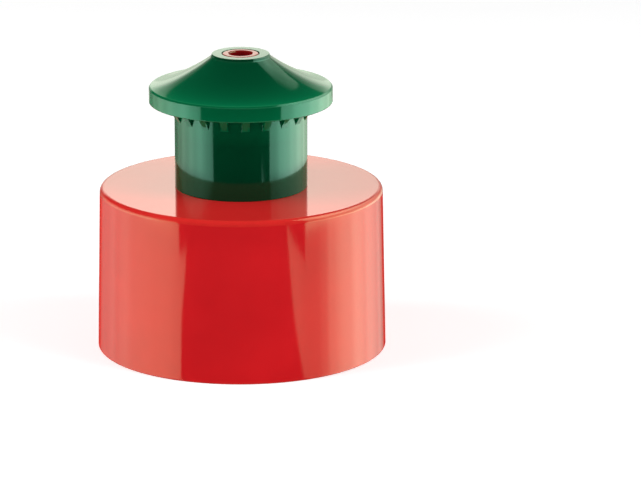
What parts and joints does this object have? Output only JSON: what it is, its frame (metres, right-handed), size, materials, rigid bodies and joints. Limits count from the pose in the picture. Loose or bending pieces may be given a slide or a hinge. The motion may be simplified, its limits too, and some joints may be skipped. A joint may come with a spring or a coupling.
{
  "type": "push-pull bottle closure",
  "caption": "Press-on bottle closure with a smooth skirt and a pull spout that slides up its tower to open and pushes down to shut.",
  "frame": {"origin": "centre of the skirt's open rim, on the surface that the closure stands on", "axes": "+Z along the axis of the tower, from the open rim up to the spout's tip; X and Y lie in the rim's plane"},
  "size_m": [0.0348, 0.0348, 0.036],
  "materials": {
    "body_plastic": "gloss red, moulded",
    "spout_plastic": "gloss green, moulded"
  },
  "bodies": {
    "closure": {"closure_body": "body_plastic"},
    "spout": {"pull_spout": "spout_plastic"}
  },
  "joints": [
    {"name": "spout_pull", "type": "slide", "parent": "closure", "child": "spout", "axis": [0, 0, 1], "range_m": [0, 0.005]}
  ]
}
